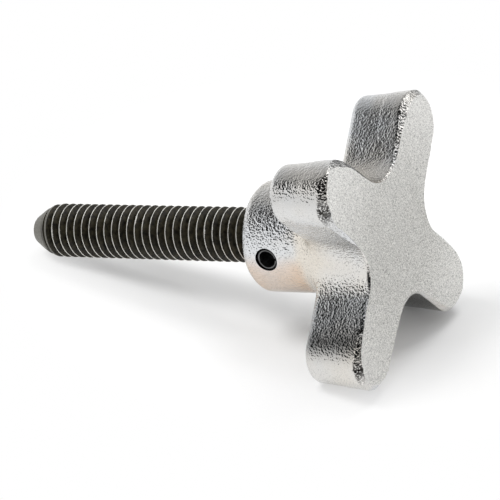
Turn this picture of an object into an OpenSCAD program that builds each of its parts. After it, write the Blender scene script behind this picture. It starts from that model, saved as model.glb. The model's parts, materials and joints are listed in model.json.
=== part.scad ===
// Star knob screw: a four-arm cast iron hand knob, a fully threaded steel stud
// screwed into its hub, and a slotted spring pin driven across hub and stud.
// Units are millimetres. The screw lies as it comes to rest, on the back edges of
// two arms and on the first full thread at the stud's tip. +Z is up, the floor is
// Z = 0, and the axis of the screw lies over the X axis with the knob at +X.

/* [Knob] */
// Widest distance across two opposite arms
knob_d = 52; // [48:0.5:60]
// Widest width of one arm
arm_w = 11.6; // [10.5:0.1:12.5]
// Thickness of the arms, from the ground front face to the back
arm_t = 11; // [9.5:0.1:12.5]
// Radius of the hollow between two neighbouring arms
root_r = 6.7; // [5.5:0.1:7.5]
// Draft of the cast sides towards the back, in degrees
draft = 5; // [2:0.5:6]
// Rounding of the front rim at the arm tips
rim_tip = 0.95; // [0.5:0.05:1.3]
// Rounding of the front rim at the hollows between the arms
rim_root = 0.35; // [0.2:0.05:0.5]
// Rounding of the back edges of the arms
back_round = 1.4; // [1:0.1:2.2]

/* [Hub] */
// Diameter of the hub
hub_d = 19.05; // [17:0.05:20.5]
// Height of the knob, from the ground front face to the back of the hub
knob_h = 25.2; // [23:0.1:30]
// Fillet between the backs of the arms and the hub
hub_fillet = 2.8; // [1.5:0.1:3.5]
// Rounding of the hub's back edge
hub_round = 1.9; // [1:0.1:2.5]
// Depth of the countersink where the stud enters the hub
mouth = 0.5; // [0.2:0.1:0.8]

/* [Stud] */
// Major diameter of the 3/8-16 thread
stud_d = 9.525; // [9:0.025:10]
// Pitch of the thread
pitch = 1.5875; // [1.4:0.0125:1.8]
// Depth of one thread, from crest to root
thread_depth = 0.97; // [0.8:0.01:1.05]
// Length of the stud in all
stud_l = 63.5; // [60:0.5:90]
// Length of the stud inside the knob
stud_in = 16.6; // [13:0.1:18]
// Diameter of the flat end of the tip
tip_d = 5.1; // [4:0.1:5.6]
// Length of the turned point at the tip
tip_l = 3.5; // [2.5:0.1:4.5]
// Gap between the stud's thread and the tapped hole
thread_gap = 0.05; // [0.02:0.01:0.1]
// Depth of the drill point past the end of the stud
drill_extra = 1.5; // [1:0.1:2.5]

/* [Spring pin] */
// Outer diameter of the pin in its hole
pin_d = 4; // [3.5:0.05:4.4]
// Wall of the rolled pin
pin_wall = 0.55; // [0.4:0.05:0.8]
// Length of the pin
pin_l = 18.3; // [16:0.1:18.4]
// Width of the slot along the pin
pin_slot = 0.5; // [0.3:0.05:0.9]
// Chamfer at each end of the pin
pin_chamfer = 0.28; // [0.1:0.02:0.35]
// Distance of the pin from the back of the hub
pin_back = 5.1; // [4.6:0.1:6.5]
// Gap between the pin and the holes that it crosses
pin_gap = 0.04; // [0.02:0.01:0.08]

/* [Hidden] */
$fn = 96;
eps = 0.01;

// Number of chords in an arm's round end, in a hollow, in the front rim, in the back edge
// and in the fillet at the hub
TIP_STEPS = 16;
ROOT_STEPS = 8;
RIM_STEPS = 4;
BACK_STEPS = 5;
FILLET_STEPS = 4;
// The fillet's arc stops a little short of the hub's own direction, so that it cuts the hub
FILLET_ARC = 75;
// Stock that stands proud of the front face and is ground away
STOCK = 0.3;

half_w = arm_w / 2;
// Centre of an arm's round end, measured from the axis
tip_c = knob_d / 2 - half_w;
// Centre of a hollow, the same distance from the centre lines of both its arms
root_c = half_w + root_r;
// Nearest point of a hollow to the axis
root_near = root_c * sqrt(2) - root_r;
stud_r = stud_d / 2;
core_r = stud_r - thread_depth;
// Inside the knob the stud and its tapped hole are both drawn at the thread's mean radius
mean_r = stud_r - thread_depth / 2;
hub_r = hub_d / 2;
pin_r = pin_d / 2;
// The stud runs along -Z of its own frame, and its tip lies here
tip_z = stud_in - knob_h - stud_l;
pin_z = pin_back - knob_h;

// Smooth step from 0 to 1
function ease(u) = let (v = min(1, max(0, u))) v * v * (3 - 2 * v);

// One arm's half of the outline and the hollow that follows it, as [point, outward normal]
function arm_outline() = concat(
    [for (i = [0:TIP_STEPS]) let (a = -90 + 180 * i / TIP_STEPS)
        [[tip_c + half_w * cos(a), half_w * sin(a)], [cos(a), sin(a)]]],
    [for (i = [0:ROOT_STEPS]) let (a = 270 - 90 * i / ROOT_STEPS)
        [[root_c + root_r * cos(a), root_c + root_r * sin(a)], [-cos(a), -sin(a)]]]
);

function turned(p, a) = [p[0] * cos(a) - p[1] * sin(a), p[0] * sin(a) + p[1] * cos(a)];

// The whole star, as four turned copies of one arm and its hollow
star = [for (k = [0:3], q = arm_outline()) [turned(q[0], 90 * k), turned(q[1], 90 * k)]];

// The front rim is rounder at the arm tips than in the hollows
function rim_at(p) = rim_root + (rim_tip - rim_root) * ease((norm(p) - root_near) / (knob_d / 2 - root_near));

// Thickness of the casting at a distance from the axis. It is the arms' own, and grows
// where the fillet rises from their backs to the hub.
function thick_at(r) = let (c = min(hub_fillet, max(0, hub_r + hub_fillet - r)))
    arm_t + hub_fillet - sqrt(hub_fillet * hub_fillet - c * c);

// Height and inset of the side wall, from the ground stock down to the back, for the size
// of the front rounding and the thickness at the place in question
function side_profile(rim, thick) = let (
    low = thick - back_round,
    lean = tan(draft) * (low - rim)
) concat(
    [[STOCK, rim * 1.45]],
    [for (i = [1:RIM_STEPS]) let (a = 90 * i / RIM_STEPS) [-rim * (1 - cos(a)), rim * (1 - sin(a))]],
    [for (i = [0:BACK_STEPS]) let (a = 90 * i / BACK_STEPS)
        [-low - back_round * sin(a), lean + back_round * (1 - cos(a))]]
);

SIDE_LEVELS = RIM_STEPS + BACK_STEPS + 2;
LEVELS = SIDE_LEVELS + FILLET_STEPS + 2;

// Distances from the axis of the rings that carry the fillet, the last one inside the hub
fillet_rings = concat(
    [for (i = [0:FILLET_STEPS]) hub_r + hub_fillet * (1 - sin(FILLET_ARC * i / FILLET_STEPS))],
    [hub_r * 0.7]
);

// One point of the outline carried down the side wall, round the back edge, then over the
// arm's back and up the fillet. Between two arms, where the wall is nearer to the axis than
// the fillet's foot, the wall runs on down to the fillet.
function column(p, n) = let (
    back_inset = tan(draft) * (arm_t - back_round) + back_round,
    sides = side_profile(rim_at(p), thick_at(norm(p - back_inset * n))),
    foot = p - sides[SIDE_LEVELS - 1][1] * n
) concat(
    [for (s = sides) [p[0] - s[1] * n[0], p[1] - s[1] * n[1], s[0]]],
    [for (i = [0:FILLET_STEPS + 1]) let (r = min(fillet_rings[i], norm(foot) - 0.02 * (i + 1)))
        [foot[0] * r / norm(foot), foot[1] * r / norm(foot), -thick_at(r)]]
);

// Points of the cast star: ring by ring from the front, then the middles of front and back
function star_points() = let (columns = [for (q = star) column(q[0], q[1])]) concat(
    [for (level = [0:LEVELS - 1], c = columns) c[level]],
    [[0, 0, STOCK], [0, 0, -arm_t - hub_fillet]]
);

// Quads round the sides, and a fan of triangles on the front and on the back
function star_faces(n) = concat(
    [for (i = [0:n - 1]) [LEVELS * n, (i + 1) % n, i]],
    [for (level = [0:LEVELS - 2], i = [0:n - 1])
        let (a = level * n + i, b = level * n + (i + 1) % n) [a, b, b + n, a + n]],
    [for (i = [0:n - 1]) let (last = (LEVELS - 1) * n) [LEVELS * n + 1, last + i, last + (i + 1) % n]]
);

// The cast star, with its front ground flat at Z = 0
module ground_star() {
    difference() {
        polyhedron(points = star_points(), faces = star_faces(len(star)), convexity = 6);
        translate([-knob_d, -knob_d, 0]) cube([2 * knob_d, 2 * knob_d, 2 * STOCK]);
    }
}

// Half section of the hub, with a round back edge
module hub_section() {
    polygon(concat(
        [[0, -knob_h], [0, -rim_tip - eps], [hub_r, -rim_tip - eps]],
        [for (i = [0:8]) let (a = 90 * i / 8)
            [hub_r - hub_round + hub_round * cos(a), -knob_h + hub_round - hub_round * sin(a)]]
    ));
}

// Half section of the open thread, which rises from the tip at Z = 0 to the knob:
// 60 degree ridges at the thread's pitch, with a flat crest and a flat root
module thread_section() {
    crest = pitch / 8;
    flank = thread_depth * tan(30);
    length = stud_l - stud_in;
    polygon(concat(
        [[0, 0], [core_r, 0]],
        [for (i = [0:floor(length / pitch - 0.6)]) let (mid = (i + 0.5) * pitch) each [
            [core_r, mid - crest / 2 - flank],
            [stud_r, mid - crest / 2],
            [stud_r, mid + crest / 2],
            [core_r, mid + crest / 2 + flank]]],
        [[core_r, length], [0, length]]
    ));
}

// Half section of the stud's outline at the tip, with the turned point
module tip_envelope() {
    polygon([[0, 0], [tip_d / 2, 0], [stud_r, tip_l], [stud_r, stud_l], [0, stud_l]]);
}

// The hole in the hub: the stud's mean thread diameter, a drill point and a countersunk mouth
module tapped_hole() {
    hole_r = mean_r + thread_gap;
    depth = stud_in + drill_extra;
    translate([0, 0, -knob_h - eps]) cylinder(r = hole_r, h = depth + eps);
    translate([0, 0, -knob_h + depth - eps]) cylinder(r1 = hole_r, r2 = 0, h = hole_r * tan(31));
    translate([0, 0, -knob_h - eps]) cylinder(r1 = stud_r + mouth, r2 = mean_r, h = stud_r + mouth - mean_r);
}

module pin_hole() {
    translate([0, 0, pin_z]) rotate([90, 0, 0]) cylinder(r = pin_r + pin_gap, h = 2 * hub_d, center = true);
}

// One half of the pin's section: a tube wall with chamfered ends
module pin_section() {
    polygon([[pin_r - pin_wall, 0], [pin_r - pin_chamfer, 0], [pin_r, pin_chamfer * 2],
        [pin_r, pin_l - pin_chamfer * 2], [pin_r - pin_chamfer, pin_l], [pin_r - pin_wall, pin_l]]);
}

// At rest the floor touches the back edges of two arms and a crest near the tip.
// Both outlines are [reach towards the floor, place along the axis], across the axis.
function foot_outline() = let (s = side_profile(rim_tip, arm_t)) concat(
    [[tip_c * cos(45) + half_w - inset_at_face(s[0], s[1]), 0]],
    [for (i = [1:SIDE_LEVELS - 1]) [tip_c * cos(45) + half_w - s[i][1], s[i][0]]]
);
function inset_at_face(above, below) = below[1] + (above[1] - below[1]) * below[0] / (below[0] - above[0]);
function crest_outline() = [for (i = [0:12]) let (z = (i + 0.5) * pitch - pitch / 16)
    if (z >= tip_l) [stud_r, tip_z + z]];
function lean_between(foot, crest) = atan2(foot[0] - crest[0], foot[1] - crest[1]);
tilt = min([for (c = crest_outline()) max([for (f = foot_outline()) lean_between(f, c)])]);
lift = max([for (f = foot_outline()) f[0] * cos(tilt) - f[1] * sin(tilt)]);
// Front end of the box round the whole screw, at the lower arms, and its back end, at the stud's tip
front_x = max([for (f = foot_outline()) f[0] * sin(tilt) + f[1] * cos(tilt)]);
back_x = tip_z * cos(tilt) - tip_d / 2 * sin(tilt);

// Puts a piece drawn about the screw's own axis, with Z = 0 on the ground face and +X
// downwards, into its place at rest, with the middle of the whole screw over the origin
module at_rest() {
    translate([-(front_x + back_x) / 2, 0, lift]) rotate([0, 90 - tilt, 0]) children();
}

module knob() {
    color("silver") at_rest() difference() {
        union() {
            rotate([0, 0, 45]) ground_star();
            rotate_extrude() hub_section();
        }
        tapped_hole();
        pin_hole();
    }
}

module threaded_stud() {
    color("dimgray") at_rest() difference() {
        translate([0, 0, tip_z]) {
            rotate_extrude() intersection() {
                thread_section();
                tip_envelope();
            }
            translate([0, 0, stud_l - stud_in - pitch]) cylinder(r = core_r, h = 2 * pitch);
            translate([0, 0, stud_l - stud_in]) cylinder(r = mean_r, h = stud_in);
        }
        pin_hole();
    }
}

module spring_pin() {
    color("dimgray") at_rest() translate([0, pin_l / 2, pin_z]) rotate([90, 0, 0]) difference() {
        rotate_extrude() pin_section();
        translate([-pin_slot / 2, 0, -eps]) cube([pin_slot, pin_d, pin_l + 2 * eps]);
    }
}

knob();
threaded_stud();
spring_pin();
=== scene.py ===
"""Looks of the star knob screw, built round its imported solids.

The pieces follow the screw as it is put together: the cast knob, the stud screwed into
it, the spring pin that locks the two, then the surface that it lies on and the light.
Shapes are worked out in millimetres in the screw's own frame, where Z = 0 is the knob's
ground face, the stud runs along -Z and +X points down between the two lower arms.
"""
import bmesh
import bpy
import json
import math
import numpy as np
from mathutils import Matrix, Vector


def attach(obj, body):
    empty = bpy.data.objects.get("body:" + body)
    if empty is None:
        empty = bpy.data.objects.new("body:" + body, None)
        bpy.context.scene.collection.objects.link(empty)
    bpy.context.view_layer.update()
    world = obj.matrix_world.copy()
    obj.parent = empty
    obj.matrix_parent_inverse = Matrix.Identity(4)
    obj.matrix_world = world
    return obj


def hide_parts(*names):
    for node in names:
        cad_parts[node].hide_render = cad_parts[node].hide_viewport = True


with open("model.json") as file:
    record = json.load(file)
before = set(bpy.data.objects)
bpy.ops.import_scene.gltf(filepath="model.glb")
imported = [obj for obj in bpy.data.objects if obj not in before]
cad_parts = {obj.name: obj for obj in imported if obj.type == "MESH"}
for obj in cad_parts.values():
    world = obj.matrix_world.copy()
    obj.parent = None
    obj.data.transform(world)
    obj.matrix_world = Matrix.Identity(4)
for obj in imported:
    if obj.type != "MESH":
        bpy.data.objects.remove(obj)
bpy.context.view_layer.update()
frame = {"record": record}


# ---- Knob ----
# A four-arm hand knob, sand-cast in grey iron in one piece with its hub. Its front is
# ground flat on a belt, its edges are tumbled, and the whole is bright zinc plated, so
# the cast skin still shows through the plating as sharp, glittering grain.

KNOB_D, ARM_W, ARM_T = 52.0, 11.6, 11.0
HOLLOW_R, DRAFT, BACK_ROUND = 6.7, math.radians(5), 1.4
HALF_ARM = ARM_W / 2
# Centre of an arm's round tip along the arm, and of a hollow along both of its arms
TIP_AT, HOLLOW_AT = KNOB_D / 2 - HALF_ARM, HALF_ARM + HOLLOW_R
# Distance of the hollows' deepest points from the axis
HOLLOW_NEAR = HOLLOW_AT * math.sqrt(2) - HOLLOW_R
# Width of the tumbled rim at the arm tips, in the hollows, and where it is narrowest
RIM_TIP, RIM_HOLLOW, RIM_LEAST = 0.95, 0.35, 0.12
HUB_R, HUB_FILLET, KNOB_H, HUB_ROUND = 9.525, 2.8, 25.2, 1.9
STUD_R, THREAD_DEPTH, STUD_IN = 4.7625, 0.97, 16.6
# The flat back's middle and the countersunk mouth in it, then the tapped hole that clears the
# stud and ends in a drill point, whose height is a share of its radius
BACK_R, MOUTH_R, MOUTH_DEPTH = 6.4, STUD_R + 0.5, 0.77
BORE_R, BORE_DEPTH, DRILL_POINT = STUD_R - THREAD_DEPTH / 2 + 0.05, STUD_IN + 1.5, 0.6
PIN_Z, PIN_HOLE_R = -20.1, 2.04
# Width over which star and hub melt into each other
MELT = 1.5
# The skin is rings of so many points, and has so many rings down the sides, of which the upper
# ones stay as drawn, round the back edge, and in to the hub, where they crowd by a power
AROUND = 600
SIDE_RINGS, PLAIN_SIDE_RINGS, EDGE_RINGS, INWARD_RINGS, CROWDING = 30, 12, 9, 26, 1.6
# Rings down the hub above, across and below the pin's hole, and round the hub's back edge
ABOVE_PIN, ACROSS_PIN, BELOW_PIN, HUB_EDGE_RINGS = 22, 22, 5, 8
# Half side of the square patch of rings that becomes the rim of the pin's hole, and how far
# from the hole's middle the rings still bend
PIN_PATCH, PIN_BEND = 2.1945, 3.1
# The ground face's rings, as shares of the star
FACE_SHARES = (0.12, 0.3, 0.5, 0.7, 0.85, 0.95, 0.99, 1.0)
# The rim's section as shares of its width, inwards and down: a flat with two small rounds
RIM_SECTION = ((0.93, 0.01), (0.86, 0.05), (0.78, 0.115), (0.62, 0.26), (0.44, 0.43),
               (0.26, 0.61), (0.115, 0.78), (0.05, 0.86), (0.01, 0.94))
RIM_RINGS = slice(len(FACE_SHARES), len(FACE_SHARES) + len(RIM_SECTION))
# Spots along the outline, as place from the tip of the far lower arm, half length and amount:
# where grinding and tumbling left the rim wider or narrower
KNOCKS = ((35, 4, -0.2), (52.5, 3, 0.25), (80.8, 1.6, 0.5), (86.5, 1.8, -0.6), (93.2, 2.8, 0.55),
          (106, 1.8, -0.3), (112.5, 1.6, 0.2), (118.5, 4.5, -0.4), (127, 2.6, 0.3), (149, 3, -0.2))
# where the rim stayed rough and took little zinc
SCUFFS = ((74, 1.5, 1), (93.5, 2.8, 1), (112, 1.2, 1), (128, 2.6, 1))
# and where painted shade darkens the sides, most down the lower arm's wall and in the notch
# under the right arm
PAINTED_SHADE_SPOTS = ((90.8, 1.8, 0.2), (118.5, 4.0, 0.4), (123.5, 2.7, 0.65), (163, 7, 0.9))


def screw_frame():
    """Where the screw's own frame lies, from the knob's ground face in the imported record.

    Gives the face's centre in metres and the frame's axes as rows: down, across, outward."""
    face = next(m for m in frame["record"]["mounts"] if m["name"] == "ground_face")
    outward = np.array(face["axis"], float)
    outward /= np.linalg.norm(outward)
    across = np.array([0.0, 1.0, 0.0])
    return np.array(face["pos_m"], float), np.array([np.cross(across, outward), across, outward])


FACE_CENTRE, SCREW_AXES = screw_frame()


def in_place(points):
    """Points in the screw's frame, in millimetres, moved to where they lie, in metres."""
    return FACE_CENTRE + points * 0.001 @ SCREW_AXES


def ramp(values, start, end):
    """Smooth step from 0 at start to 1 at end: 3u^2 - 2u^3 of the share u of the way."""
    u = np.clip((values - start) / (end - start), 0.0, 1.0)
    return u * u * (3 - 2 * u)


def plane_waves(points, wavelength, count, seed):
    """Smooth random field with unit spread: a sum of cosines of plane waves whose
    directions, phases and lengths (0.75 to 1.35 of wavelength) are drawn from seed."""
    draw = np.random.default_rng(seed)
    heading = draw.normal(size=(count, 3))
    heading /= np.linalg.norm(heading, axis=1, keepdims=True)
    heading *= 2 * np.pi / (wavelength * draw.uniform(0.75, 1.35, (count, 1)))
    phase = draw.uniform(0, 2 * np.pi, count)
    total = np.zeros(points.shape[:-1])
    for k in range(count):
        total += np.cos(points @ heading[k] + phase[k])
    return total * math.sqrt(2 / count)


def star_outline():
    """The star seen from the front: points and outward normals at even steps, and how far
    along the outline each point lies.

    Half an arm is a quarter circle round the tip, a straight side and half of the hollow
    between two arms; a mirror and four turns make the rest."""
    quarter, side, sweep = HALF_ARM * math.pi / 2, TIP_AT - HOLLOW_AT, HOLLOW_R * math.pi / 4
    length = quarter + side + sweep
    place = np.arange(AROUND) * 8 * length / AROUND
    arm, t = np.divmod(place + 1e-9, 2 * length)
    mirrored = t > length
    t = np.where(mirrored, 2 * length - t, t)
    a = np.minimum(t, quarter) / HALF_ARM
    b = math.radians(270) - np.clip(t - quarter - side, 0, None) / HOLLOW_R
    parts = [t <= quarter, t <= quarter + side]
    x = np.select(parts, [TIP_AT + HALF_ARM * np.cos(a), TIP_AT - (t - quarter)],
                  HOLLOW_AT + HOLLOW_R * np.cos(b))
    y = np.select(parts, [HALF_ARM * np.sin(a), HALF_ARM], HOLLOW_AT + HOLLOW_R * np.sin(b))
    nx = np.select(parts, [np.cos(a), 0], -np.cos(b))
    ny = np.select(parts, [np.sin(a), 1], -np.sin(b))
    x, y = np.where(mirrored, y, x), np.where(mirrored, x, y)
    nx, ny = np.where(mirrored, ny, nx), np.where(mirrored, nx, ny)
    turn = np.pi / 2 * arm + np.pi / 4
    c, s = np.cos(turn), np.sin(turn)
    points = np.stack([x * c - y * s, x * s + y * c], 1)
    return points, np.stack([nx * c - ny * s, nx * s + ny * c], 1), place


def spots_along(place, spots):
    """Bell curves along the outline, added up: amount times exp(-((place - middle) / half)^2)."""
    return sum(amount * np.exp(-((place - middle) / half) ** 2) for middle, half, amount in spots)


def from_star(points):
    """Distance from the star's drafted wall, negative inside: the two-dimensional distance
    to tip circle, side or hollow, plus the draft's inset at that height."""
    x = np.abs(points[..., 0] + points[..., 1]) / math.sqrt(2)
    y = np.abs(points[..., 1] - points[..., 0]) / math.sqrt(2)
    far, near = np.maximum(x, y), np.minimum(x, y)
    wall = np.select([far > TIP_AT, far > HOLLOW_AT],
                     [np.hypot(far - TIP_AT, near) - HALF_ARM, near - HALF_ARM],
                     HOLLOW_R - np.hypot(far - HOLLOW_AT, near - HOLLOW_AT))
    drafted = np.clip(-points[..., 2] - RIM_HOLLOW, 0, ARM_T + HUB_FILLET - BACK_ROUND)
    return wall + math.tan(DRAFT) * drafted


def thick_at(reach):
    """Thickness of the casting at a distance from the axis: the arms' own, plus the height
    of the fillet's arc from their backs to the hub, cut off 15 degrees before it is upright."""
    c = np.clip(HUB_R + HUB_FILLET - reach, 0, 0.966 * HUB_FILLET)
    return ARM_T + HUB_FILLET - np.sqrt(HUB_FILLET ** 2 - c ** 2)


def from_knob(points):
    """Distance from star and hub together, negative inside. The star's back edge is a
    rounded meeting of its wall and its back, which rises to the hub in a fillet, and a
    smooth minimum softens the last of the corner between the two."""
    reach = np.hypot(points[..., 0], points[..., 1])
    wall = from_star(points) + BACK_ROUND
    back = -points[..., 2] - thick_at(reach) + BACK_ROUND
    outside = np.hypot(np.maximum(wall, 0), np.maximum(back, 0))
    star = outside + np.minimum(np.maximum(wall, back), 0) - BACK_ROUND
    hub = reach - HUB_R
    both = np.clip(1 - np.abs(star - hub) / MELT, 0, None)
    return np.minimum(star, hub) - both ** 2 * MELT / 4


def onto(surface, points):
    """Points moved along the gradient of a distance until it is nought, in eight steps."""
    step = 1e-3
    for _ in range(8):
        value = surface(points)
        slope = np.stack([surface(points + step * e) - surface(points - step * e)
                          for e in np.eye(3)], -1) / (2 * step)
        steepness = np.maximum((slope ** 2).sum(-1, keepdims=True), 0.2)
        points = points - value[..., None] * slope / steepness
    return points


def evened(surface, rings):
    """Rings whose points are drawn to the mean of their four neighbours, twelve half steps
    at a time, and put back onto the surface, eight times. The first and the last ring stay."""
    for _ in range(8):
        for _ in range(12):
            inner = rings[1:-1]
            mean = (rings[:-2] + rings[2:] + np.roll(inner, 1, 1) + np.roll(inner, -1, 1)) / 4
            rings = np.concatenate([rings[:1], (inner + mean) / 2, rings[-1:]])
        rings = np.concatenate([rings[:1], onto(surface, rings[1:-1]), rings[-1:]])
    return rings


def grid_normals(grid):
    """Outward normals of a grid of rings that close on themselves: the cross product of
    the steps along and around."""
    around = np.roll(grid, -1, 1) - np.roll(grid, 1, 1)
    along = np.gradient(grid, axis=0)
    normal = np.cross(along, around)
    return normal / np.maximum(np.linalg.norm(normal, axis=-1, keepdims=True), 1e-12)


def ring_faces(rings, around):
    """Quads between neighbouring rings, and a fan from one pole at each end."""
    i, j = np.meshgrid(np.arange(rings - 1), np.arange(around), indexing="ij")
    a, b = i * around + j, i * around + (j + 1) % around
    quads = np.stack([a, a + around, b + around, b], -1).reshape(-1, 4)
    j = np.arange(around)
    after = (j + 1) % around
    first, last = rings * around, rings * around + 1
    end_ring = (rings - 1) * around
    start = np.stack([np.full(around, first), j, after], 1)
    end = np.stack([np.full(around, last), end_ring + after, end_ring + j], 1)
    return quads.tolist() + start.tolist() + end.tolist()


def new_piece(name, points, faces, attributes=(), sharp=40):
    """A mesh of points in the screw's frame, with smooth faces, edges sharper than sharp
    degrees left crisp, and a number per point for each attribute."""
    mesh = bpy.data.meshes.new(name)
    mesh.from_pydata(in_place(points).tolist(), [], faces)
    for label, values in attributes:
        numbers = np.asarray(values, np.float32)
        mesh.attributes.new(label, "FLOAT", "POINT").data.foreach_set("value", numbers)
    mesh.polygons.foreach_set("use_smooth", np.ones(len(mesh.polygons), bool))
    mesh.set_sharp_from_angle(angle=math.radians(sharp))
    mesh.validate()
    piece = bpy.data.objects.new(name, mesh)
    bpy.context.scene.collection.objects.link(piece)
    return piece


def steps(start, end, count):
    """Even steps from start to end, without the start."""
    return np.linspace(start, end, count + 1)[1:]


def uneven_rim(outline, place):
    """The tumbled rim's width along the outline: it grows from the hollows to the tips, and
    varies by 8 % over some 5 mm, by 5 % over some 1.2 mm and by the knocks."""
    reach = np.linalg.norm(outline, axis=1)
    rim = RIM_HOLLOW + (RIM_TIP - RIM_HOLLOW) * ramp(reach, HOLLOW_NEAR, KNOB_D / 2)
    flat = np.concatenate([outline, np.zeros((AROUND, 1))], 1)
    rim = rim * (1 + 0.08 * plane_waves(flat, 5.0, 30, 1) + 0.05 * plane_waves(flat, 1.2, 30, 2))
    return np.maximum(rim + spots_along(place, KNOCKS), RIM_LEAST)


def knob_rings():
    """The knob's skin as rings of points, from the front's middle over the rim, down the
    sides, over the back to the hub, down the hub, and into its tapped hole.

    Gives the rings, how much cast grain each point shows, from none on the ground face to
    1 on the bare casting, and which rings are the hub's."""
    outline, normal, place = star_outline()
    rim = uneven_rim(outline, place)
    # The back edge's round starts here, below the back's thickness 0.9 mm further in. So it
    # follows the fillet where a hollow comes near the hub
    low = thick_at(np.linalg.norm(outline, axis=1) - 0.9) - BACK_ROUND
    turn = np.arange(AROUND) * 2 * np.pi / AROUND + np.pi / 4
    circle = np.stack([np.cos(turn), np.sin(turn), np.zeros(AROUND)], 1)
    rings, grain = [], []

    def add(ring, cast):
        """One more ring, with its share of cast grain."""
        rings.append(ring)
        grain.append(np.full(AROUND, cast))

    def star_ring(inset, z):
        """The outline moved inwards along its normals, at a height."""
        level = np.broadcast_to(z, AROUND)[:, None]
        return np.concatenate([outline - inset[:, None] * normal, level], 1)

    for share in FACE_SHARES:
        add(star_ring(rim, 0) * share, 0.0)
    for inset, drop in RIM_SECTION:
        add(star_ring(rim * inset, -rim * drop), 0.9)
    for share in steps(0, 1, SIDE_RINGS):
        drop = (low - rim) * share
        add(star_ring(math.tan(DRAFT) * drop, -rim - drop), min(1.0, 0.6 + 4 * share))
    lean = math.tan(DRAFT) * (low - rim)
    for a in np.radians(steps(0, 90, EDGE_RINGS)):
        add(star_ring(lean + BACK_ROUND * (1 - np.cos(a)), -low - BACK_ROUND * np.sin(a)), 1.0)

    # From the back edge the rings close in on the hub, which is plain from just below its
    # fillet. The lower wall and all down to there is then put onto the melted surface
    hub_top = ARM_T + HUB_FILLET + 0.8
    start, end = rings[-1], circle * HUB_R - np.array([0, 0, hub_top])
    for share in 1 - steps(0, 1, INWARD_RINGS):
        add(end + (start - end) * share ** CROWDING, 1.0)
    body = np.stack(rings)
    lower_wall = RIM_RINGS.stop + PLAIN_SIDE_RINGS
    body[lower_wall:] = evened(from_knob, onto(from_knob, body[lower_wall:]))
    rings = list(body)

    hub_low = KNOB_H - HUB_ROUND
    first = len(rings)
    patch_top, patch_low = PIN_Z + PIN_PATCH, PIN_Z - PIN_PATCH
    for z in (*steps(-hub_top, patch_top, ABOVE_PIN), *steps(patch_top, patch_low, ACROSS_PIN),
              *steps(patch_low, -hub_low, BELOW_PIN)):
        add(circle * HUB_R + np.array([0, 0, z]), 1.0)
    hub = slice(first, len(rings))
    for a in np.radians(steps(0, 90, HUB_EDGE_RINGS)):
        level = np.array([0, 0, hub_low + HUB_ROUND * np.sin(a)])
        add(circle * (HUB_R - HUB_ROUND * (1 - np.cos(a))) - level, 1.0)
    for r, depth in ((BACK_R, 0), (MOUTH_R, 0), (BORE_R, MOUTH_DEPTH), (BORE_R, BORE_DEPTH),
                     (BORE_R / 2, BORE_DEPTH + BORE_R * DRILL_POINT / 2)):
        add(circle * r + np.array([0, 0, depth - KNOB_H]), 0.3)
    return np.stack(rings), np.stack(grain), hub


def round_the_hole(part):
    """The hub's rings pulled round each end of the pin's hole. On the unrolled hub, the
    square patch becomes a circle, and the pull fades out to the sides."""
    angle = np.arctan2(part[..., 1], part[..., 0])
    for side in (-np.pi / 2, np.pi / 2):
        x = HUB_R * ((angle - side + np.pi) % (2 * np.pi) - np.pi)
        z = part[..., 2] - PIN_Z
        square = np.maximum(np.abs(x), np.abs(z))
        pull = ramp(square, PIN_BEND, PIN_PATCH)
        scale = 1 + pull * (square / np.maximum(np.hypot(x, z), 1e-9) - 1)
        scale = np.where(square < PIN_BEND, scale, 1)
        angle = np.where(square < PIN_BEND, side + x * scale / HUB_R, angle)
        part = np.stack([HUB_R * np.cos(angle), HUB_R * np.sin(angle), PIN_Z + z * scale], -1)
    return part


def cut_across(piece, radius, cut_name):
    """A round hole cut along the pin's axis, right through a piece."""
    around, reach = 96, 14
    turn = np.arange(around) * 2 * np.pi / around
    ring = np.stack([radius * np.cos(turn), np.zeros(around), PIN_Z + radius * np.sin(turn)], 1)
    ends = np.concatenate([ring + np.array([0, y, 0]) for y in (-reach, reach)])
    poles = np.array([[0, -reach, PIN_Z], [0, reach, PIN_Z]])
    cutter = new_piece(cut_name, np.concatenate([ends, poles]), ring_faces(2, around))
    cut = piece.modifiers.new("pin_hole", "BOOLEAN")
    cut.operation, cut.object, cut.solver = "DIFFERENCE", cutter, "EXACT"
    bpy.context.view_layer.update()
    shown = piece.evaluated_get(bpy.context.evaluated_depsgraph_get())
    mesh = bpy.data.meshes.new_from_object(shown)
    piece.modifiers.clear()
    piece.data = mesh
    mesh.set_sharp_from_angle(angle=math.radians(40))
    bpy.data.objects.remove(cutter)


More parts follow.
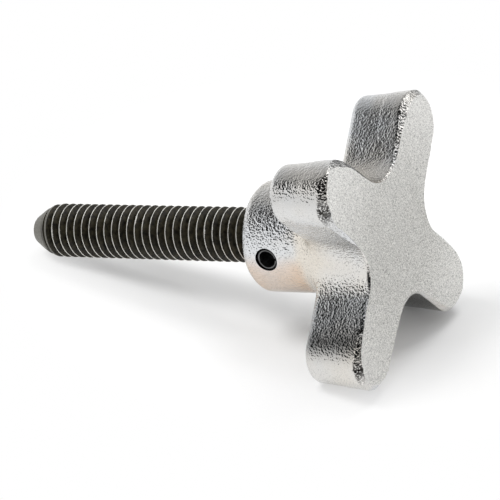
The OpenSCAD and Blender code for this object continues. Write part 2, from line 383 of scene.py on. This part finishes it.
def cast_knob():
    """The knob's skin with its cast unevenness: shallow swells some 7 mm long and lumps
    of about 1.7 mm, only ever inwards, so that it stays inside the solid's box.

    Its attributes say where the skin is grainy and dull, where painted shade darkens its sides,
    where it is scuffed, where a rosy tint is painted as a reflection, and where it is cream.
    Faces that lie in the plane of the ground front take the second material."""
    rings, grain, hub = knob_rings()
    rings[hub] = round_the_hole(rings[hub])
    normals = grid_normals(rings)
    down, across, back = rings[..., 0], rings[..., 1], -rings[..., 2]
    reach = np.hypot(down, across)
    place = star_outline()[2]
    near_side = ramp(across, 0, -1)

    # The far side and all that faces up is satin, and the rim is bright but for its scuffs
    upward = normals @ SCREW_AXES[:, 2]
    dull = np.maximum(ramp(across, -1, 4), ramp(upward, 0.5, 0.8))
    dull[RIM_RINGS] = 0
    scuff = np.zeros(rings.shape[:2])
    scuff[RIM_RINGS] = spots_along(place, SCUFFS)
    # Painted shade: the sides darkened in spots, most down the lower arm's wall and in the notch
    grey = spots_along(place, PAINTED_SHADE_SPOTS) * (grain >= 0.6) * ramp(back, 12, 10)
    grey[RIM_RINGS] = 0
    # Painted reflection: a rosy tint is painted low on the hub's near side, as the reflection of
    # what lies in front of it. The hollows there are made creamier
    painted_warm_reflection = ramp(back, 12.5, 15) * ramp(down, -1.5, 2) * ramp(down, 9.5, 6.5) * near_side
    cream = ramp(reach, 14.5, 11.5) * ramp(back, 15, 13.5) * ramp(down, -9, -6) * near_side
    # The grain stands out more on the hub, and less where the zinc is dull
    bump = grain * (1 + 0.35 * ramp(back, 13, 16)) * (1 - 0.35 * dull)

    # Swells and lumps lie around 0.06 mm deep, and 0.14 mm at most
    swell = 0.03 * plane_waves(rings, 7.0, 40, 3) + 0.003 * plane_waves(rings, 1.7, 60, 4)
    sunk = np.clip(0.06 - swell, 0.0, 0.14) * ramp(grain, 0.125, 0.75)
    rings = rings - sunk[..., None] * normals
    poles = np.array([[0, 0, 0], [0, 0, BORE_DEPTH - KNOB_H + BORE_R * DRILL_POINT]])
    points = np.concatenate([rings.reshape(-1, 3), poles])
    looks = {"grain": bump, "dull": dull, "grey": grey, "scuff": scuff, "painted_warm_reflection": painted_warm_reflection, "cream": cream}
    piece = new_piece("cast_knob", points, ring_faces(len(rings), AROUND),
                      [(label, np.append(values, [0, 0])) for label, values in looks.items()])

    polygons = piece.data.polygons
    starts, corners = np.zeros(len(polygons), np.int32), np.zeros(len(piece.data.loops), np.int32)
    polygons.foreach_get("loop_start", starts)
    piece.data.loops.foreach_get("vertex_index", corners)
    lowest = np.minimum.reduceat(points[corners, 2], starts)
    polygons.foreach_set("material_index", (lowest > -1e-6).astype(np.int32))
    return piece


def linear(code):
    """An sRGB colour written as six hexadecimal digits, as linear red, green, blue, alpha."""
    parts = [int(code[k:k + 2], 16) / 255 for k in (0, 2, 4)]
    return [p / 12.92 if p <= 0.04045 else ((p + 0.055) / 1.055) ** 2.4 for p in parts] + [1.0]


def add_node(tree, kind, inputs=(), **settings):
    """One new node with its settings. An input that is a socket is linked, any other is set."""
    node = tree.nodes.new(kind)
    for name, value in settings.items():
        setattr(node, name, value)
    for key, value in dict(inputs).items():
        if isinstance(value, bpy.types.NodeSocket):
            tree.links.new(value, node.inputs[key])
        else:
            node.inputs[key].default_value = value
    return node


def new_material(name):
    """An empty material: its node tree, its output node and the place on the object."""
    material = bpy.data.materials.new(name)
    material.use_nodes = True
    tree = material.node_tree
    tree.nodes.clear()
    place = add_node(tree, "ShaderNodeTexCoord").outputs["Object"]
    return material, tree, add_node(tree, "ShaderNodeOutputMaterial"), place


# Millimetres in a metre. A texture's scale is how often its pattern fits into a metre, so
# METRE / 0.5 draws one of 0.5 mm
METRE = 1000


def zinc_on_sand_cast_iron():
    """Bright zinc plating over a sand-cast skin. The plating is thin and follows the print of
    each sand grain, so the surface mirrors in small scattered facets, nearly as sharp as
    chrome where it is bright and satin where it is dull."""
    material, tree, output, place = new_material("zinc_plated_sand_cast_iron")
    grain, dull, grey, scuff, painted_warm_reflection, cream = (
        add_node(tree, "ShaderNodeAttribute", attribute_name=label).outputs["Fac"]
        for label in ("grain", "dull", "grey", "scuff", "painted_warm_reflection", "cream"))

    # Moulding sand is 0.1 to 0.25 mm. Its prints are drawn at 0.34 mm, in clumps of 0.5 mm,
    # because finer ones don't show from a step away
    sand = add_node(tree, "ShaderNodeTexVoronoi", {
        "Vector": place, "Scale": METRE / 0.34, "Smoothness": 0.35}, feature="SMOOTH_F1").outputs["Distance"]
    clumps = add_node(tree, "ShaderNodeTexNoise", {
        "Vector": place, "Scale": METRE / 0.5, "Detail": 2.0, "Roughness": 0.6})
    height = add_node(tree, "ShaderNodeMath", {
        0: clumps.outputs["Fac"], 1: 1.4, 2: sand}, operation="MULTIPLY_ADD")
    bump = add_node(tree, "ShaderNodeBump", {
        "Height": height.outputs[0], "Distance": 0.1 / METRE, "Strength": grain})

    # The zinc's tint wanders between silver and cream over 12 mm and is creamier in the hollows
    # near the hub. It turns rosy low on the hub's near side, where a reflection is painted
    wander = add_node(tree, "ShaderNodeTexNoise", {
        "Vector": place, "Scale": METRE / 12, "Detail": 2.0}).outputs["Fac"]
    tint_share = add_node(tree, "ShaderNodeMath", {0: cream, 1: 0.16, 2: wander}, operation="MULTIPLY_ADD")
    tints = add_node(tree, "ShaderNodeValToRGB", {"Fac": tint_share.outputs[0]})
    silver_end, cream_end = tints.color_ramp.elements
    silver_end.position, silver_end.color = 0.40, linear("dcdee0")
    cream_end.position, cream_end.color = 0.75, linear("e1dbd1")
    rosy = add_node(tree, "ShaderNodeMath", {0: painted_warm_reflection, 1: wander}, operation="MULTIPLY")
    zinc = add_node(tree, "ShaderNodeMix", {
        "Factor": rosy.outputs[0], "A": tints.outputs["Color"], "B": linear("dfbc9a")}, data_type="RGBA")

    # Painted shade: the bottoms of the prints are darkened as if shade lay in them, and so are
    # the painted shade spots. Scuffs show iron in flecks
    painted_pit_shade = add_node(tree, "ShaderNodeMapRange", {
        "Value": sand, "From Min": 0.35, "From Max": 0.15, "To Max": 0.22})
    painted_shade_share = add_node(tree, "ShaderNodeMath", {0: painted_pit_shade.outputs["Result"], 1: grey}, operation="MAXIMUM")
    shaded = add_node(tree, "ShaderNodeMix", {
        "Factor": painted_shade_share.outputs[0], "A": zinc.outputs["Result"], "B": linear("5c5c5b")}, data_type="RGBA")
    flecks = add_node(tree, "ShaderNodeTexNoise", {"Vector": place, "Scale": METRE / 0.3, "Detail": 1.0})
    thin = add_node(tree, "ShaderNodeMapRange", {
        "Value": flecks.outputs["Fac"], "From Min": 0.68, "From Max": 0.50})
    bald = add_node(tree, "ShaderNodeMath", {0: thin.outputs["Result"], 1: scuff}, operation="MULTIPLY")
    colour = add_node(tree, "ShaderNodeMix", {
        "Factor": bald.outputs[0], "A": shaded.outputs["Result"], "B": linear("3e3d3a")}, data_type="RGBA")

    rough = add_node(tree, "ShaderNodeMapRange", {"Value": dull, "To Min": 0.09, "To Max": 0.25})
    shader = add_node(tree, "ShaderNodeBsdfPrincipled", {
        "Base Color": colour.outputs["Result"], "Metallic": 1.0,
        "Roughness": rough.outputs["Result"], "Normal": bump.outputs["Normal"]})
    tree.links.new(shader.outputs["BSDF"], output.inputs["Surface"])
    return material


def zinc_on_ground_iron():
    """Zinc plating over belt-ground iron: an even satin grey with a fine grain and a scatter of
    open pores. Painted light makes it a little lighter towards the arm tips and the top."""
    material, tree, output, place = new_material("zinc_plated_ground_iron")

    # The grains of an 80 grit belt are about 0.2 mm, which gives the speckle. The relief that
    # they cut is drawn at 0.35 mm, because a finer one doesn't show
    speckle = add_node(tree, "ShaderNodeTexNoise", {
        "Vector": place, "Scale": METRE / 0.19, "Detail": 1.0, "Roughness": 0.6})
    relief = add_node(tree, "ShaderNodeTexNoise", {
        "Vector": place, "Scale": METRE / 0.35, "Detail": 3.0, "Roughness": 0.65})
    bump = add_node(tree, "ShaderNodeBump", {
        "Height": relief.outputs["Fac"], "Distance": 0.08 / METRE, "Strength": 1.0})
    shade = add_node(tree, "ShaderNodeValToRGB", {"Fac": speckle.outputs["Fac"]})
    dark_end, light_end = shade.color_ramp.elements
    dark_end.position, dark_end.color = 0.30, linear("8a8986")
    light_end.position, light_end.color = 0.60, linear("e4e3df")

    # Painted light: the face is made lighter towards the arm tips and towards the top, as if more
    # light fell there
    reach = add_node(tree, "ShaderNodeVectorMath", {
        0: place, 1: FACE_CENTRE.tolist()}, operation="DISTANCE").outputs["Value"]
    level = add_node(tree, "ShaderNodeSeparateXYZ", {0: place}).outputs["Z"]
    face = shade.outputs["Color"]
    for value, start, end in ((reach, 10, 22), (level, 20, 38)):
        share = add_node(tree, "ShaderNodeMapRange", {
            "Value": value, "From Min": start / METRE, "From Max": end / METRE})
        face = add_node(tree, "ShaderNodeMix", {
            "Factor": share.outputs["Result"], "A": face, "B": linear("606060")},
            data_type="RGBA", blend_type="ADD").outputs["Result"]

    # Open pores of the casting, the deepest spots of a pattern of 0.7 mm
    pores = add_node(tree, "ShaderNodeTexNoise", {
        "Vector": place, "Scale": METRE / 0.7, "Detail": 3.0, "Roughness": 0.8})
    pitted = add_node(tree, "ShaderNodeMapRange", {
        "Value": pores.outputs["Fac"], "From Min": 0.34, "From Max": 0.29})
    colour = add_node(tree, "ShaderNodeMix", {
        "Factor": pitted.outputs["Result"], "A": face, "B": linear("5a5955")}, data_type="RGBA")
    shader = add_node(tree, "ShaderNodeBsdfPrincipled", {
        "Base Color": colour.outputs["Result"], "Metallic": 1.0,
        "Roughness": 0.45, "Normal": bump.outputs["Normal"]})
    tree.links.new(shader.outputs["BSDF"], output.inputs["Surface"])
    return material


knob = cast_knob()
knob.data.materials.append(zinc_on_sand_cast_iron())
knob.data.materials.append(zinc_on_ground_iron())
cut_across(knob, PIN_HOLE_R, "knob_cutter")
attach(knob, "root")
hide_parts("knob")


# ---- Threaded stud ----
# A length of 3/8-16 threaded rod in carbon steel. Its thread is rolled, its end is turned
# to a blunt point, and it is blackened and oiled, with bare steel showing along the crests.
# The crests' bright lines are partly that wear and partly painted highlight.

PITCH, TIP_Z = 1.5875, -72.1
# Turned point: height above the tip and radius, from inside the end out to past the thread
TIP_PROFILE = np.array([(-1.2, 0), (0, 2.43), (0.15, 2.55), (2.1, 3.78), (2.9, 4.22), (3.8, 4.6),
                        (4.6, 4.74), (6, 4.9)])
# How far up from the tip the turning left bare steel
TURNED_L = 4.5
# Height of a crest at turn nought
CREST_AT = -27.918
# The thread ends this far inside the hub, and a plain core takes over
RUNOUT = 0.9
# Where the crests' bright lines run wider, partly handling wear and partly painted sheen where
# the flanks catch light: distance along the screw and turn round it in degrees, and how long
# and how wide every spot is, as half lengths
WEAR_AND_SHEEN_SPOTS = np.array([[-49.3, -141.0], [-34.6, -120.0], [-66.0, -110.0]])
WORN_LENGTH, WORN_WIDTH = 3.5, 1.6


def thread_profile():
    """One pitch of the thread as (share of the pitch, depth below the crest), from the
    middle of a crest to the middle of the next: a rounded crest, 60 degree flanks and a
    rounded root. Half a crest and a flank take three eighths of it, half a root one eighth."""
    flank = THREAD_DEPTH * math.tan(math.radians(30)) / PITCH
    crest = 0.375 - flank
    share = np.array([0, 0.6 * crest, crest, crest + 0.035, crest + 0.09,
                      crest + flank / 2 + 0.06, crest + flank + 0.03, crest + flank + 0.065, 0.5])
    depth = np.array([0, 0, 0.02, 0.09, 0.24, 0.5, 0.86, 0.97, 1.0]) * THREAD_DEPTH
    return np.concatenate([share, 1 - share[-2:0:-1]]), np.concatenate([depth, depth[-2:0:-1]])


def weld(piece):
    """Joins points that lie together, such as those of both ends' poles."""
    mesh = bmesh.new()
    mesh.from_mesh(piece.data)
    bmesh.ops.remove_doubles(mesh, verts=mesh.verts, dist=1e-7)
    mesh.to_mesh(piece.data)
    mesh.free()


def threaded_stud():
    """The thread's profile carried along a right-hand helix, held inside the point's outline
    at the tip and closed there. Inside the knob, heights run eight times as fast and the
    radius is the core's, which makes the plain end."""
    share, depth = thread_profile()
    profile, around, hurry = len(share), 96, 8
    runout, top = RUNOUT - KNOB_H, STUD_IN - KNOB_H
    # The helix starts about three pitches below the tip, and is held at the tip's height there
    low = CREST_AT + PITCH * (math.ceil((TIP_Z - CREST_AT) / PITCH) - 3)
    turns = math.ceil((runout + (top - runout) / hurry - low) / PITCH) + 1
    rows = turns * around + 1
    turn = np.arange(rows)[:, None] * 2 * np.pi / around
    z = low + PITCH * (turn / (2 * np.pi) + share[None, :])

    thread = STUD_R - np.broadcast_to(depth, z.shape)
    from_tip = z - TIP_Z
    point = np.interp(from_tip, TIP_PROFILE[:, 0], TIP_PROFILE[:, 1])
    bare = ramp(thread - point, -1 / 16, 1 / 16) * (from_tip < TURNED_L)
    inside = z > runout
    r = np.where(inside, STUD_R - THREAD_DEPTH / 2, np.minimum(thread, point))
    z = np.clip(np.where(inside, runout + hurry * (z - runout), z), TIP_Z, top)
    r = np.where(z >= top - 1e-9, 0, r)
    points = np.stack([r * np.cos(turn), r * np.sin(turn), z], -1)

    # The crests show bare steel, painted as bright lines that are partly wear and partly their
    # highlight, and further down the flanks in the spots of handling wear and painted sheen
    wear_and_highlight = ramp(r - STUD_R, -0.13, -0.01)
    round_to = (turn - np.radians(WEAR_AND_SHEEN_SPOTS[:, 1])[:, None, None] + np.pi) % (2 * np.pi) - np.pi
    wear_and_sheen = np.exp(-((z - WEAR_AND_SHEEN_SPOTS[:, 0, None, None]) / WORN_LENGTH) ** 2
                     - (round_to * STUD_R / WORN_WIDTH) ** 2).max(0)
    wear_and_highlight = np.maximum(wear_and_highlight, 0.7 * wear_and_sheen * ramp(r - STUD_R, -0.45, -0.05)) * ~inside

    # A pitch's last point joins the first one of the next turn
    i, j = np.meshgrid(np.arange(rows - 1), np.arange(profile), indexing="ij")
    a, b = i * profile + j, (i + 1) * profile + j
    carried = j == profile - 1
    c = np.where(carried, (i + around) * profile, a + 1)
    d = np.where(carried, (i + 1 + around) * profile, b + 1)
    keep = np.maximum(c, d) < rows * profile
    faces = np.stack([a, b, d, c], -1)[keep]
    piece = new_piece("threaded_rod", points.reshape(-1, 3), faces.tolist(),
                      [("wear_and_highlight", wear_and_highlight.ravel()), ("bare", bare.ravel())], sharp=50)
    weld(piece)
    return piece


def black_oxide_rolled_steel():
    """Black oxide on rolled steel, a thin dark layer with a film of oil: nearly black with a
    low soft sheen. The crests show bare steel, painted as bright lines that are partly wear and
    partly the crests' highlight, and the turned point is left grey."""
    material, tree, output, place = new_material("black_oxide_rolled_steel")
    wear_and_highlight, bare = (add_node(tree, "ShaderNodeAttribute", attribute_name=label).outputs["Fac"]
                  for label in ("wear_and_highlight", "bare"))

    # The oxide is blotchy over 0.8 mm, and the crests' wear and painted highlight break through
    # it in the same blotches
    mottle = add_node(tree, "ShaderNodeTexNoise", {
        "Vector": place, "Scale": METRE / 0.8, "Detail": 3.0, "Roughness": 0.7}).outputs["Fac"]
    rub = add_node(tree, "ShaderNodeMath", {0: wear_and_highlight, 1: mottle}, operation="MULTIPLY")
    rubbed = add_node(tree, "ShaderNodeMapRange", {
        "Value": rub.outputs[0], "From Min": 0.22, "From Max": 0.38})
    shows = add_node(tree, "ShaderNodeMath", {0: rubbed.outputs["Result"], 1: bare}, operation="MAXIMUM")
    blotch = add_node(tree, "ShaderNodeMapRange", {"Value": mottle, "From Min": 0.36, "From Max": 0.64})

    # Tool marks on the turned point are about 0.1 mm, drawn as a stipple of 0.3 mm to show
    stipple = add_node(tree, "ShaderNodeTexNoise", {
        "Vector": place, "Scale": METRE / 0.3, "Detail": 2.0, "Roughness": 0.7})
    turned = add_node(tree, "ShaderNodeMix", {
        "Factor": stipple.outputs["Fac"], "A": linear("35332f"), "B": linear("8c8a82")}, data_type="RGBA")
    # Painted highlight: the near white steel on the crests is partly bare steel and partly stands in for the
    # crests' highlight
    steel = add_node(tree, "ShaderNodeMix", {
        "Factor": bare, "A": linear("f4f2ec"), "B": turned.outputs["Result"]}, data_type="RGBA")
    oxide = add_node(tree, "ShaderNodeMix", {
        "Factor": blotch.outputs["Result"], "A": linear("0e0d09"), "B": linear("383427")}, data_type="RGBA")
    colour = add_node(tree, "ShaderNodeMix", {
        "Factor": shows.outputs[0], "A": oxide.outputs["Result"], "B": steel.outputs["Result"]},
        data_type="RGBA")

    # Rubbed steel is still half under oil and oxide, so it is only partly a mirror
    metal = add_node(tree, "ShaderNodeMath", {0: shows.outputs[0], 1: 0.55}, operation="MULTIPLY")
    bump = add_node(tree, "ShaderNodeBump", {"Height": mottle, "Distance": 0.03 / METRE, "Strength": 1.0})
    shader = add_node(tree, "ShaderNodeBsdfPrincipled", {
        "Base Color": colour.outputs["Result"], "Metallic": metal.outputs[0], "Roughness": 0.42,
        "Specular IOR Level": 0.25, "Normal": bump.outputs["Normal"]})
    tree.links.new(shader.outputs["BSDF"], output.inputs["Surface"])
    return material


stud = threaded_stud()
stud.data.materials.append(black_oxide_rolled_steel())
cut_across(stud, PIN_HOLE_R, "stud_cutter")
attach(stud, "root")
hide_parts("threaded_stud")


# ---- Spring pin ----
# A slotted spring pin, rolled from spring steel strip and driven through hub and stud.
# Its ends are chamfered and sit just below the hub's skin, with the slot towards the arms.

PIN_R, PIN_WALL, PIN_L, PIN_SLOT = 2.0, 0.55, 18.3, 0.5
# How much the end's chamfer takes off the radius, and its length with the small rounds
PIN_CHAMFER, PIN_CHAMFER_L = 0.22, 0.6


def rolled_pin():
    """The strip's section, with chamfered and slightly rounded ends, carried round the
    pin's axis from one lip of the slot to the other."""
    half, inner = PIN_L / 2, PIN_R - PIN_WALL
    section = np.array([[inner, 0.1], [inner + 0.08, 0], [PIN_R - PIN_CHAMFER - 0.08, 0],
                        [PIN_R - PIN_CHAMFER, 0.04], [PIN_R - 0.02, PIN_CHAMFER_L - 0.1],
                        [PIN_R, PIN_CHAMFER_L]]) - np.array([0, half])
    section = np.concatenate([section, section[::-1] * np.array([1, -1])])
    strip, around = len(section), 88
    gap = PIN_SLOT / 2 / PIN_R
    turn = np.linspace(gap, 2 * np.pi - gap, around)[:, None]
    r, y = section[:, 0][None, :], np.broadcast_to(section[:, 1], (around, strip))
    points = np.stack([r * np.sin(turn), y, PIN_Z + r * np.cos(turn)], -1)
    i, j = np.meshgrid(np.arange(around - 1), np.arange(strip), indexing="ij")
    a, c = i * strip + j, i * strip + (j + 1) % strip
    faces = np.stack([a, a + strip, c + strip, c], -1).reshape(-1, 4).tolist()
    last = (around - 1) * strip
    lips = [list(range(strip)), list(range(last + strip - 1, last - 1, -1))]
    # Painted highlight: the inner edge of each end is marked for a light grey ring, where the end face
    # catches light
    painted_end_ring = ((np.abs(y) > half - 0.15) & (r < inner + 0.1)).astype(float)
    return new_piece("slotted_spring_pin", points.reshape(-1, 3), faces + lips,
                     [("bare", painted_end_ring.ravel())], sharp=30)


def blackened_spring_steel():
    """Oil-blackened spring steel: near black with a soft sheen, and a light grey ring painted on
    the inner edge of each end, a painted highlight where the end face catches light."""
    material, tree, output, place = new_material("blackened_spring_steel")
    bare = add_node(tree, "ShaderNodeAttribute", attribute_name="bare").outputs["Fac"]
    # The strip is faintly uneven over 0.6 mm from the quench
    uneven = add_node(tree, "ShaderNodeTexNoise", {"Vector": place, "Scale": METRE / 0.6, "Detail": 3.0})
    # Painted highlight: the light grey ring on the inner edge of each end
    colour = add_node(tree, "ShaderNodeMix", {
        "Factor": bare, "A": linear("242424"), "B": linear("8a8b8c")}, data_type="RGBA")
    bump = add_node(tree, "ShaderNodeBump", {
        "Height": uneven.outputs["Fac"], "Distance": 0.04 / METRE, "Strength": 1.0})
    shader = add_node(tree, "ShaderNodeBsdfPrincipled", {
        "Base Color": colour.outputs["Result"], "Metallic": 1.0,
        "Roughness": 0.35, "Normal": bump.outputs["Normal"]})
    tree.links.new(shader.outputs["BSDF"], output.inputs["Surface"])
    return material


pin = rolled_pin()
pin.data.materials.append(blackened_spring_steel())
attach(pin, "root")
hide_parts("spring_pin")


# ---- Surface and light ----
# A wide sheet of white card lies under the screw, and two soft boxes stand on the left and
# behind it. What the plating mirrors is the room as drawn here and not the boxes themselves.

# Here sizes are in metres. First comes half the card's side
FLOOR_HALF = 3.0
# The middle of the patch of card that keeps the shadow, set behind the screw, and how far from
# it the card starts and ends glowing white. This glow is painted light, and it also pales the
# shadow in front of the knob
SHADOW_AT, SHADOW_FROM, SHADOW_TO = (0.012, 0.033, 0), 0.039, 0.068


def white_card():
    """White card that keeps the screw's shadow. Away from the screw it glows, a painted light that
    lifts it to full white for the camera and in mirror images."""
    material, tree, output, place = new_material("white_card")
    away = add_node(tree, "ShaderNodeVectorMath", {0: place, 1: SHADOW_AT}, operation="DISTANCE")
    paths = add_node(tree, "ShaderNodeLightPath").outputs
    seen = add_node(tree, "ShaderNodeMath", {
        0: paths["Is Camera Ray"], 1: paths["Is Glossy Ray"]}, operation="MAXIMUM")
    far = add_node(tree, "ShaderNodeMapRange", {
        "Value": away.outputs["Value"], "From Min": SHADOW_FROM, "From Max": SHADOW_TO})
    lift = add_node(tree, "ShaderNodeMath", {
        0: seen.outputs[0], 1: far.outputs["Result"]}, operation="MULTIPLY")
    card = add_node(tree, "ShaderNodeBsdfDiffuse", {"Color": linear("fafafa")})
    white = add_node(tree, "ShaderNodeEmission", {"Strength": 1.0})
    total = add_node(tree, "ShaderNodeMixShader", {
        0: lift.outputs[0], 1: card.outputs[0], 2: white.outputs[0]})
    tree.links.new(total.outputs[0], output.inputs["Surface"])
    return material


corners = [(x * FLOOR_HALF, y * FLOOR_HALF, 0) for x, y in ((-1, -1), (1, -1), (1, 1), (-1, 1))]
floor_mesh = bpy.data.meshes.new("floor")
floor_mesh.from_pydata(corners, [], [(0, 1, 2, 3)])
floor = bpy.data.objects.new("floor", floor_mesh)
bpy.context.scene.collection.objects.link(floor)
floor.data.materials.append(white_card())


def toward(azimuth, elevation):
    """The direction of a turn from +X and a height above the horizon, in degrees."""
    a, e = math.radians(azimuth), math.radians(elevation)
    return (math.cos(a) * math.cos(e), math.sin(a) * math.cos(e), math.sin(e))


def surroundings():
    """The room: plain soft light for everything, and what the plating mirrors. That is a
    wall behind the screw, white at the horizon and grey above, a nearly black side in front
    with a white band low on its left, a dark gap in the wall, and two bright panels high up."""
    world = bpy.data.worlds.new("studio")
    world.use_nodes = True
    tree = world.node_tree
    tree.nodes.clear()
    output = add_node(tree, "ShaderNodeOutputWorld")
    heading = add_node(tree, "ShaderNodeTexCoord").outputs["Generated"]
    height = add_node(tree, "ShaderNodeSeparateXYZ", {0: heading}).outputs["Z"]

    def patch(azimuth, elevation, inner, outer):
        """1 within inner degrees of a direction, falling to 0 at outer."""
        near = add_node(tree, "ShaderNodeVectorMath", {
            0: heading, 1: toward(azimuth, elevation)}, operation="DOT_PRODUCT")
        return add_node(tree, "ShaderNodeMapRange", {
            "Value": near.outputs["Value"], "From Min": math.cos(math.radians(outer)),
            "From Max": math.cos(math.radians(inner))}, interpolation_type="SMOOTHSTEP").outputs["Result"]

    wall = add_node(tree, "ShaderNodeMapRange", {
        "Value": height, "From Min": 0.10, "From Max": 0.58, "To Min": 1.0, "To Max": 0.44},
        interpolation_type="SMOOTHSTEP").outputs["Result"]
    low = add_node(tree, "ShaderNodeMapRange", {
        "Value": height, "From Min": 0.38, "From Max": 0.24}, interpolation_type="SMOOTHSTEP")
    band = add_node(tree, "ShaderNodeMath", {
        0: low.outputs["Result"], 1: patch(-125, 0, 42, 60)}, operation="MULTIPLY").outputs[0]
    # White is 1, and what is brighter stands in for lamps. Patches are turn, height, and where
    # their full part and their soft edge end, all in degrees
    mirrored = linear("181818")
    for share, tone in ((patch(115, 0, 71, 87), wall), (band, (1.13, 1.13, 1.13, 1.0)),
                        (patch(90, 8, 8, 16), linear("282828")),
                        (patch(62, 48, 12, 18), (1.8, 1.8, 1.8, 1.0)),
                        (patch(14, 55, 13, 19), (1.5, 1.5, 1.5, 1.0))):
        mirrored = add_node(tree, "ShaderNodeMix", {
            "Factor": share, "A": mirrored, "B": tone}, data_type="RGBA").outputs["Result"]

    # Mirror images see the room above, the card and the matt parts get plain light, and the
    # camera sees white
    paths = add_node(tree, "ShaderNodeLightPath").outputs
    glossy = add_node(tree, "ShaderNodeBackground", {"Color": mirrored, "Strength": 1.0})
    plain = add_node(tree, "ShaderNodeBackground", {"Color": linear("ffffff"), "Strength": 0.64})
    light = add_node(tree, "ShaderNodeMixShader", {
        0: paths["Is Glossy Ray"], 1: plain.outputs[0], 2: glossy.outputs[0]})
    white = add_node(tree, "ShaderNodeBackground", {"Color": linear("ffffff"), "Strength": 1.0})
    shown = add_node(tree, "ShaderNodeMixShader", {
        0: paths["Is Camera Ray"], 1: light.outputs[0], 2: white.outputs[0]})
    tree.links.new(shown.outputs[0], output.inputs["Surface"])
    bpy.context.scene.world = world


def soft_box(name, place, watts):
    """A square soft box of 0.35 m that faces the screw and doesn't show in the plating."""
    lamp = bpy.data.lights.new(name, "AREA")
    lamp.shape, lamp.size, lamp.energy = "SQUARE", 0.35, watts
    box = bpy.data.objects.new(name, lamp)
    box.location = place
    box.rotation_euler = (-Vector(place)).to_track_quat("-Z", "Y").to_euler()
    box.visible_glossy = False
    bpy.context.scene.collection.objects.link(box)


surroundings()
soft_box("softbox_left", (-0.346, -0.2, 0.693), 3.0)
soft_box("softbox_back", (0.0, 0.4, 0.693), 1.7)


# ---- Camera ----
# A long lens, about 470 mm from the screw, that looks down on it at 30 degrees. Its three
# axes are written in the scene's own frame.

camera = bpy.data.cameras.new("camera")
camera.sensor_width, camera.lens = 36.0, 194.09
camera.clip_start = 0.01
right, up, forward = (0.8778, 0.4801, 0.0053), (-0.2412, 0.4327, 0.8683), (-0.4146, 0.7637, -0.4950)
view = bpy.data.objects.new("camera", camera)
turned = Matrix([right, up, [-v for v in forward]]).transposed().to_4x4()
view.matrix_world = Matrix.Translation((0.1957, -0.3508, 0.2388)) @ turned
bpy.context.scene.collection.objects.link(view)
bpy.context.scene.camera = view
bpy.context.scene.view_settings.view_transform = "Standard"
